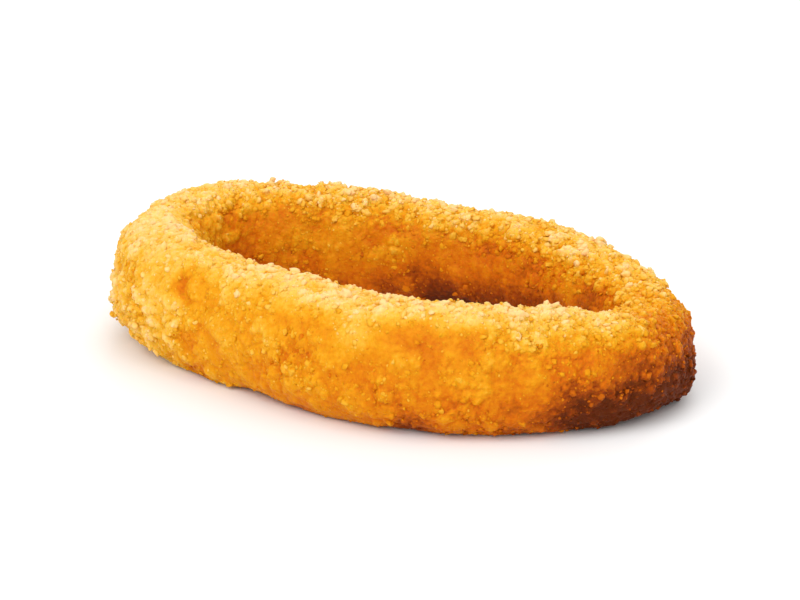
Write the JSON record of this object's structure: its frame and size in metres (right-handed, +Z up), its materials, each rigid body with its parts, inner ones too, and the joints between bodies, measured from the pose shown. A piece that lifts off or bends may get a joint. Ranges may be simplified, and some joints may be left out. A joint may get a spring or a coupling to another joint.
{
  "type": "onion ring",
  "caption": "Breaded and fried onion ring: a long, uneven oval band with a crumbed golden crust and an open middle, lying flat with its left end curled up a little.",
  "frame": {"origin": "middle of the ring's box, on the surface that it rests on", "axes": "+X along the ring's length, -Y towards its front, +Z up"},
  "size_m": [0.0842, 0.0534, 0.0173],
  "materials": {
    "fried_crust": "dry, rough crust of fried breadcrumbs"
  },
  "bodies": {
    "root": {"onion_ring": "fried_crust"}
  },
  "joints": []
}
